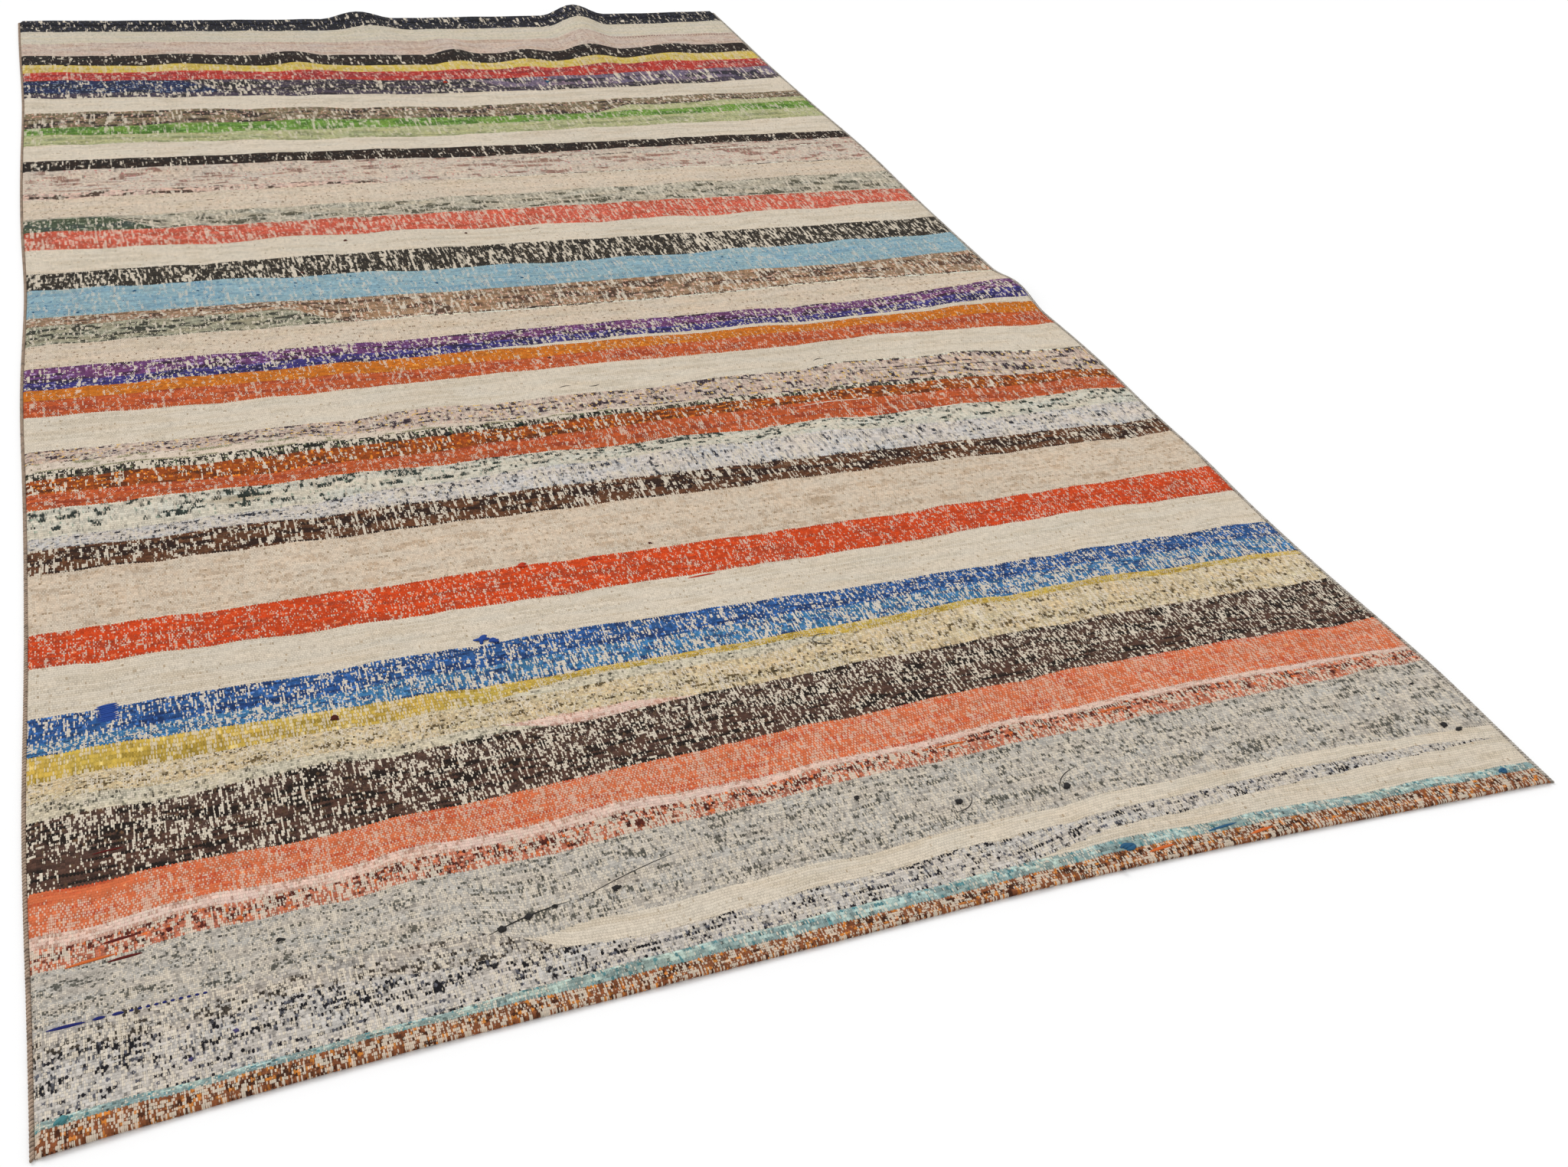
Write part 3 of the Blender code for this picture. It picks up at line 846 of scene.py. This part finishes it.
height = (1 - over) * (1 - ahead * ahead * 3.2) * 0.8 + warp_shows * (1 - aside * aside * 2)
height = height + fibre * 0.25
bump = start.node("Bump", {}, {"Strength": 0.55, "Distance": 0.0009, "Height": height}, out="Normal")
colour.feed(shader.inputs["Base Color"])
(0.93 - warp_shows * 0.07).feed(shader.inputs["Roughness"])
bump.feed(shader.inputs["Normal"])
cloth.data.materials.append(weave)
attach(cloth, "root")
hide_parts("rug_cloth")

# Knots and loose ends. Where a strip of rag was tied to the next one its ends were left as a tuft,
# a few coloured strips float over the warps, and some loose threads lie on the rug. Each is made
# of tapered strands, half sunk in the cloth.
STRAND_SIDES = 6
STRAND_STEPS = 7
THREAD_STEP = 12
END_ROUGHNESS = 0.92
END_GLOSS = 0.2
YARN_ENDS = {
    "ink": "2c2a2a",
    "brown": "4a1c14",
    "maroon": "5a1c18",
    "slate": "2c5878",
    "royal": "26468e",
    "navy": "1e2464",
    "violet": "4a4470",
    "teal": "4a8084",
    "red": "b8381e",
    "orange": "c8642e",
    "cream": "e6dccb",
    "green": "26362e",
    "stone": "6a665c",
}
# A knot's strands, as shares of its size: half their length, how far their middles stray, their
# bend, their rise, and half their width and height. The last three have a limit in mm.
BIG_KNOT = 9
KNOT_HALF = (0.32, 0.55)
KNOT_STRAY = 0.15
KNOT_BEND = 0.22
KNOT_RISE, KNOT_RISE_LIMIT = 0.13, 2.0
KNOT_WIDE, KNOT_WIDE_LIMIT = 0.18, 3.2
KNOT_HIGH, KNOT_HIGH_LIMIT = 0.12, 1.5
KNOT_FLATTENED = 0.7
Knot = namedtuple("Knot", "x y size dye")
KNOTS = (
    Knot(242, 197, 9, "ink"),
    Knot(465, 144, 12, "ink"),
    Knot(496, 152, 11, "ink"),
    Knot(528, 159, 7, "ink"),
    Knot(448, 97, 9, "ink"),
    Knot(400, 96, 7, "ink"),
    Knot(1187, 171, 13, "ink"),
    Knot(1178, 25, 7, "ink"),
    Knot(187, 91, 8, "violet"),
    Knot(144, 69, 7, "violet"),
    Knot(137, 242, 8, "maroon"),
    Knot(206, 236, 8, "orange"),
    Knot(600, 167, 12, "ink"),
    Knot(1040, 184, 13, "ink"),
    Knot(920, 225, 8, "ink"),
    Knot(29, 31, 15, "teal"),
    Knot(1204, 53, 17, "slate"),
    Knot(1772, 33, 12, "slate"),
    Knot(1761, 134, 12, "ink"),
    Knot(1776, 121, 10, "ink"),
    Knot(1777, 220, 8, "ink"),
    Knot(1705, 206, 7, "ink"),
    Knot(348, 532, 13, "brown"),
    Knot(556, 640, 20, "royal"),
    Knot(570, 634, 16, "royal"),
    Knot(840, 804, 7, "brown"),
    Knot(646, 792, 13, "red"),
    Knot(748, 785, 16, "red"),
    Knot(737, 1176, 12, "green"),
    Knot(618, 1169, 13, "ink"),
    Knot(837, 1366, 8, "cream"),
    Knot(840, 1389, 7, "ink"),
    Knot(288, 1673, 7, "brown"),
    Knot(476, 1796, 8, "brown"),
    Knot(185, 1770, 7, "slate"),
    Knot(290, 1752, 6, "slate"),
    Knot(390, 1718, 8, "slate"),
    Knot(460, 1755, 6, "slate"),
    Knot(560, 1768, 6, "slate"),
    Knot(710, 1713, 8, "slate"),
    Knot(870, 1708, 7, "slate"),
    Knot(1285, 1735, 7, "slate"),
    Knot(1305, 1703, 6, "slate"),
    Knot(20, 1713, 7, "slate"),
    Knot(90, 1703, 7, "slate"),
    Knot(575, 1927, 8, "brown"),
    Knot(810, 1925, 7, "brown"),
    Knot(1200, 2790, 12, "slate"),
    Knot(950, 2810, 12, "red"),
    Knot(1200, 2812, 11, "red"),
    Knot(102, 2999, 10, "ink"),
    Knot(143, 3039, 9, "green"),
    Knot(205, 3065, 9, "green"),
)
Float = namedtuple("Float", "x y stop_x stop_y wide dye")
FLOATS = (
    Float(16, 142.8, 52, 143.8, 4.4, "navy"),
    Float(58, 144.2, 70, 144.6, 4.2, "navy"),
    Float(76, 144.8, 87, 145.1, 4.2, "navy"),
    Float(35, 219, 82, 224, 4.2, "orange"),
    Float(70, 241, 105, 245, 4.0, "maroon"),
    Float(75, 215, 108, 218, 4.0, "maroon"),
    Float(66, 374, 98, 377, 3.2, "maroon"),
    Float(1224, 40, 1262, 43, 5.0, "orange"),
    Float(1366, 31, 1400, 34, 5.0, "orange"),
    Float(1055, 280, 1100, 282, 4.0, "orange"),
    Float(1300, 285, 1345, 287, 3.6, "orange"),
    Float(1316, 50, 1360, 53, 4.0, "slate"),
    Float(866, 706, 908, 709, 3.6, "red"),
    Float(850, 1583, 886, 1586, 3.0, "ink"),
)
DOTTED_PICKS = (
    Float(92, 145.3, 172, 147.5, 3.2, "navy"),
    Float(1430, 3121, 1812, 3139, 4.0, "maroon"),
)
DOT_PITCH = 7.7
DOT_SHARE = 0.55
BLUE_PATCH = Float(79, 596, 106, 599, 4.2, "royal")
BLUE_PATCH_PICKS = 9
BLUE_PATCH_RAGGED = 3
Thread = namedtuple("Thread", "x y stop_x stop_y bend thick dye")
THREADS = (
    Thread(448, 139, 545, 162, 3, 1.6, "ink"),
    Thread(545, 156, 700, 203, 5, 1.1, "ink"),
    Thread(984, 516, 1016, 534, 13, 1.4, "stone"),
    Thread(984, 534, 1014, 516, -9, 1.4, "stone"),
    Thread(1172, 162, 1216, 200, 9, 1.3, "ink"),
    Thread(1022, 170, 1062, 196, -12, 1.3, "ink"),
    Thread(892, 1150, 900, 1174, 2, 2.6, "cream"),
    Thread(1210, 1136, 1350, 1137, 4, 1.6, "cream"),
    Thread(1300, 1232, 1800, 1200, 6, 1.0, "ink"),
    Thread(1090, 1262, 1200, 1228, 5, 1.2, "ink"),
    Thread(464, 1825, 479, 1772, 3, 1.8, "cream"),
    Thread(829, 1280, 851, 1283, 3, 1.4, "ink"),
    Thread(880, 1276, 900, 1280, -3, 1.4, "ink"),
    Thread(1300, 1286, 1321, 1290, 3, 1.4, "ink"),
    Thread(938, 1922, 962, 1927, 4, 1.3, "brown"),
)
end_points, end_faces, end_dyes = [], [], []
end_draws = random.Random(23)


def stray(reach):
    """A random distance to either side."""
    return end_draws.uniform(-reach, reach)


def band(ring, next_ring, count):
    """The faces between two rings of points."""
    pairs = [(side, (side + 1) % count) for side in range(count)]
    return [(ring + a, ring + b, next_ring + b, next_ring + a) for a, b in pairs]


def loose_strand(path, half_wide, half_high, yarn_end):
    """One strand along a path of (x, y, rise), tapered at both ends. All in mm."""
    base = len(end_points)
    steps = len(path)
    for step, (x, y, rise) in enumerate(path):
        before, after = path[max(step - 1, 0)], path[min(step + 1, steps - 1)]
        onward = Vector((after[0] - before[0], after[1] - before[1], 0.0)).normalized()
        sideways = Vector((-onward.y, onward.x, 0.0))
        taper = math.sin(math.pi * (step + 0.4) / (steps - 0.2)) ** 0.5
        spot_x, spot_y = x * MM, y * MM
        ground_here = float(lift(spot_x, spot_y)) + float(cockle(spot_x, spot_y))
        ground_here += float(thickness(spot_x / WIDTH, spot_y))
        centre = corner + Vector((spot_x, spot_y, ground_here + rise * MM))
        for number in range(STRAND_SIDES):
            angle = math.tau * number / STRAND_SIDES
            out = sideways * (math.cos(angle) * half_wide * taper * MM)
            out.z = math.sin(angle) * half_high * taper * MM
            end_points.append(centre + out)
    last_ring = len(end_points) - STRAND_SIDES
    for ring in range(base, last_ring, STRAND_SIDES):
        end_faces.extend(band(ring, ring + STRAND_SIDES, STRAND_SIDES))
    end_faces.append(tuple(range(base, base + STRAND_SIDES))[::-1])
    end_faces.append(tuple(range(last_ring, last_ring + STRAND_SIDES)))
    number = list(YARN_ENDS).index(yarn_end)
    end_dyes.extend([number] * (len(end_faces) - len(end_dyes)))


def laid_path(start, stop, bend, rise, steps=STRAND_STEPS):
    """A path between two places that bows to its side, and rises a little in the middle."""
    run_x, run_y = stop[0] - start[0], stop[1] - start[1]
    length = math.hypot(run_x, run_y)
    path = []
    for step in range(steps):
        share = step / (steps - 1)
        bow = 4 * share * (1 - share)
        x = start[0] + run_x * share - run_y / length * bend * bow
        y = start[1] + run_y * share + run_x / length * bend * bow
        path.append((x, y, rise * bow))
    return path


for knot in KNOTS:
    half_wide = min(knot.size * KNOT_WIDE, KNOT_WIDE_LIMIT)
    half_high = min(knot.size * KNOT_HIGH, KNOT_HIGH_LIMIT)
    for _ in range(5 if knot.size > BIG_KNOT else 3):
        turn = end_draws.uniform(0, math.pi)
        half = knot.size * end_draws.uniform(*KNOT_HALF)
        middle_x = knot.x + stray(KNOT_STRAY) * knot.size
        middle_y = knot.y + stray(KNOT_STRAY) * knot.size
        run_x = half * math.cos(turn)
        run_y = half * math.sin(turn) * KNOT_FLATTENED
        bend = stray(KNOT_BEND) * knot.size
        rise = min(knot.size * KNOT_RISE, KNOT_RISE_LIMIT)
        start_at, stop_at = (middle_x - run_x, middle_y - run_y), (middle_x + run_x, middle_y + run_y)
        loose_strand(laid_path(start_at, stop_at, bend, rise), half_wide, half_high, knot.dye)
for strip in FLOATS:
    path = laid_path(strip[:2], strip[2:4], 0.4, 0.3)
    loose_strand(path, strip.wide / 2, 0.8, strip.dye)
for strip in DOTTED_PICKS:
    dots = int((strip.stop_x - strip.x) / DOT_PITCH)
    for dot in range(dots):
        x = strip.x + dot * DOT_PITCH
        y = strip.y + (strip.stop_y - strip.y) * dot / dots
        path = laid_path((x, y), (x + DOT_PITCH * DOT_SHARE, y + 0.1), 0.1, 0.2)
        loose_strand(path, strip.wide / 2, 0.7, strip.dye)
for number in range(BLUE_PATCH_PICKS):
    up = number * RAGS["blue"].pick
    start_at = (BLUE_PATCH.x + stray(BLUE_PATCH_RAGGED), BLUE_PATCH.y + up)
    stop_at = (BLUE_PATCH.stop_x + stray(BLUE_PATCH_RAGGED), BLUE_PATCH.stop_y + up)
    path = laid_path(start_at, stop_at, stray(0.4), 0.3)
    loose_strand(path, BLUE_PATCH.wide / 2, 0.8, BLUE_PATCH.dye)
for thread_end in THREADS:
    start_at, stop_at = thread_end[:2], thread_end[2:4]
    steps = STRAND_STEPS + int(math.dist(start_at, stop_at) / THREAD_STEP)
    path = laid_path(start_at, stop_at, thread_end.bend, 0.4, steps)
    loose_strand(path, thread_end.thick / 2, thread_end.thick / 2, thread_end.dye)

knots = new_piece("knots_and_ends", end_points, end_faces)
for yarn_end, code in YARN_ENDS.items():
    end_yarn, end_shader = new_finish("rag_end_" + yarn_end, END_GLOSS)
    end_shader.inputs["Base Color"].default_value = dye(code)
    end_shader.inputs["Roughness"].default_value = END_ROUGHNESS
    knots.data.materials.append(end_yarn)
knots.data.polygons.foreach_set("material_index", end_dyes)
knots.parent = cloth

# The whipping: a thick beige yarn sewn over and over each side of the rug, close enough to hide
# the outermost warps, each turn leaning a little from the next.
TURN_PITCH = 0.0048
TURN_REACH = 0.0020
TURN_RISE = 0.00145
YARN_HALF_THICK = 0.00065
YARN_HALF_WIDE = 0.0023
TURN_LEAN = 0.0016
TURN_STRAY = 0.0003
TURN_SIZES = (0.93, 1.0)
LEAN_SIZES = (0.6, 1.4)
TURN_STEPS = 10
YARN_SIDES = 5
WHIP_TAN = "a8927f"
WHIP_PALE = "b9b2a8"
WHIP_DARK = "6f6256"


def whipping(name, side, inwards, seed):
    """The turns of yarn along one side, as one mesh of closed rings."""
    draws = random.Random(seed)
    turn_points, turn_faces = [], []
    count = int((LENGTH - 2 * YARN_HALF_WIDE) / TURN_PITCH)
    for turn in range(count):
        y = YARN_HALF_WIDE + turn * TURN_PITCH + draws.uniform(-TURN_STRAY, TURN_STRAY)
        grown = draws.uniform(*TURN_SIZES)
        lean = TURN_LEAN * draws.uniform(*LEAN_SIZES)
        centre_x = float(side(y)) + inwards * (TURN_REACH + YARN_HALF_THICK)
        centre_z = float(lift(centre_x, y)) + TURN_RISE + YARN_HALF_THICK
        base = len(turn_points)
        for step in range(TURN_STEPS):
            angle = math.tau * step / TURN_STEPS
            out = Vector((math.cos(angle) * inwards, 0.0, math.sin(angle)))
            x = centre_x + out.x * TURN_REACH * grown
            z = centre_z + out.z * TURN_RISE * grown
            middle_point = corner + Vector((x, y + lean * math.cos(angle), z))
            for number in range(YARN_SIDES):
                turned = math.tau * number / YARN_SIDES
                across_yarn = out * math.cos(turned) * YARN_HALF_THICK
                along_edge = Vector((0.0, math.sin(turned) * YARN_HALF_WIDE, 0.0))
                turn_points.append(middle_point + across_yarn + along_edge)
        for step in range(TURN_STEPS):
            next_ring = base + (step + 1) % TURN_STEPS * YARN_SIDES
            for ring_face in band(base + step * YARN_SIDES, next_ring, YARN_SIDES):
                turn_faces.append(ring_face if inwards > 0 else ring_face[::-1])
    return new_piece(name, turn_points, turn_faces)


def whipping_yarn(name, plain):
    """Matt wool with a fuzz of fibres, darker in places."""
    material, finish = new_finish(name, YARN_GLOSS)
    yarn = Strand(material.node_tree)
    spot = yarn.node("TexCoord", out="Object")
    coarse = yarn.node("TexNoise", {}, {"Vector": spot, "Scale": 120.0, "Detail": 1.0})
    fine = yarn.node("TexNoise", {}, {"Vector": spot, "Scale": 900.0, "Detail": 2.0})
    tinted = blend(dye(plain), dye(WHIP_DARK), ((coarse - 0.45) * 2.5).held())
    fuzz = yarn.node("Bump", {}, {"Strength": 0.5, "Distance": 0.0004, "Height": fine}, out="Normal")
    scaled(tinted, 0.8 + fine * 0.4).feed(finish.inputs["Base Color"])
    (0.86 + fine * 0.12).feed(finish.inputs["Roughness"])
    fuzz.feed(finish.inputs["Normal"])
    return material


for node_name, side, inwards, plain, seed in (
    ("edging_left", left_side, 1, WHIP_TAN, 7),
    ("edging_right", right_side, -1, WHIP_PALE, 8),
):
    whipped = whipping(node_name + "_whipping", side, inwards, seed)
    whipped.data.materials.append(whipping_yarn(node_name + "_yarn", plain))
    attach(whipped, "root")
    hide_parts(node_name)

# The floor: a plain pale surface under the rug.
FLOOR_SIZE = 60.0
FLOOR_COLOUR = (0.96, 0.96, 0.96, 1.0)
FLOOR_ROUGHNESS = 0.95
reach = FLOOR_SIZE / 2
floor_corners = [(reach * x, reach * y, 0.0) for x, y in ((-1, -1), (1, -1), (1, 1), (-1, 1))]
floor = new_piece("floor", floor_corners, [(0, 1, 2, 3)])
floor_paint, floor_shader = new_finish("floor_paint", 0.0)
floor_shader.inputs["Base Color"].default_value = FLOOR_COLOUR
floor_shader.inputs["Roughness"].default_value = FLOOR_ROUGHNESS
floor.data.materials.append(floor_paint)

# The light: an even white surround, and one large soft sun from the far left.
SURROUND = 0.80
SUN_STRENGTH = 1.15
SUN_SPREAD = math.radians(30)
SUN_TURN = (math.radians(-38), math.radians(-28), 0.0)
world = bpy.data.worlds.new("surround")
world.use_nodes = True
surround = world.node_tree.nodes["Background"]
surround.inputs["Color"].default_value = (1.0, 1.0, 1.0, 1.0)
surround.inputs["Strength"].default_value = SURROUND
bpy.context.scene.world = world
sun_light = bpy.data.lights.new("sun", "SUN")
sun_light.energy = SUN_STRENGTH
sun_light.angle = SUN_SPREAD
sun = bpy.data.objects.new("sun", sun_light)
sun.rotation_euler = SUN_TURN
bpy.context.scene.collection.objects.link(sun)
bpy.context.scene.view_settings.view_transform = "Standard"

# The camera: at chest height before the near left corner, tilted down and slightly rolled.
CAMERA_PLACE = Vector((0.2160, -0.9782, 1.3059))
HEADING = math.radians(25.53)
TILT = math.radians(35.69)
ROLL = math.radians(6.81)
FOCAL_PIXELS = 2026.6
IMAGE_WIDTH = 2048
SENSOR = 36.0
SHIFT = 0.0008
lens = bpy.data.cameras.new("camera")
lens.sensor_width = SENSOR
lens.lens = FOCAL_PIXELS * SENSOR / IMAGE_WIDTH
lens.shift_x = -SHIFT
lens.shift_y = SHIFT
camera = bpy.data.objects.new("camera", lens)
turned = Matrix.Rotation(-HEADING, 4, "Z") @ Matrix.Rotation(math.pi / 2 - TILT, 4, "X")
camera.matrix_world = Matrix.Translation(corner + CAMERA_PLACE) @ turned @ Matrix.Rotation(ROLL, 4, "Z")
bpy.context.scene.collection.objects.link(camera)
bpy.context.scene.camera = camera
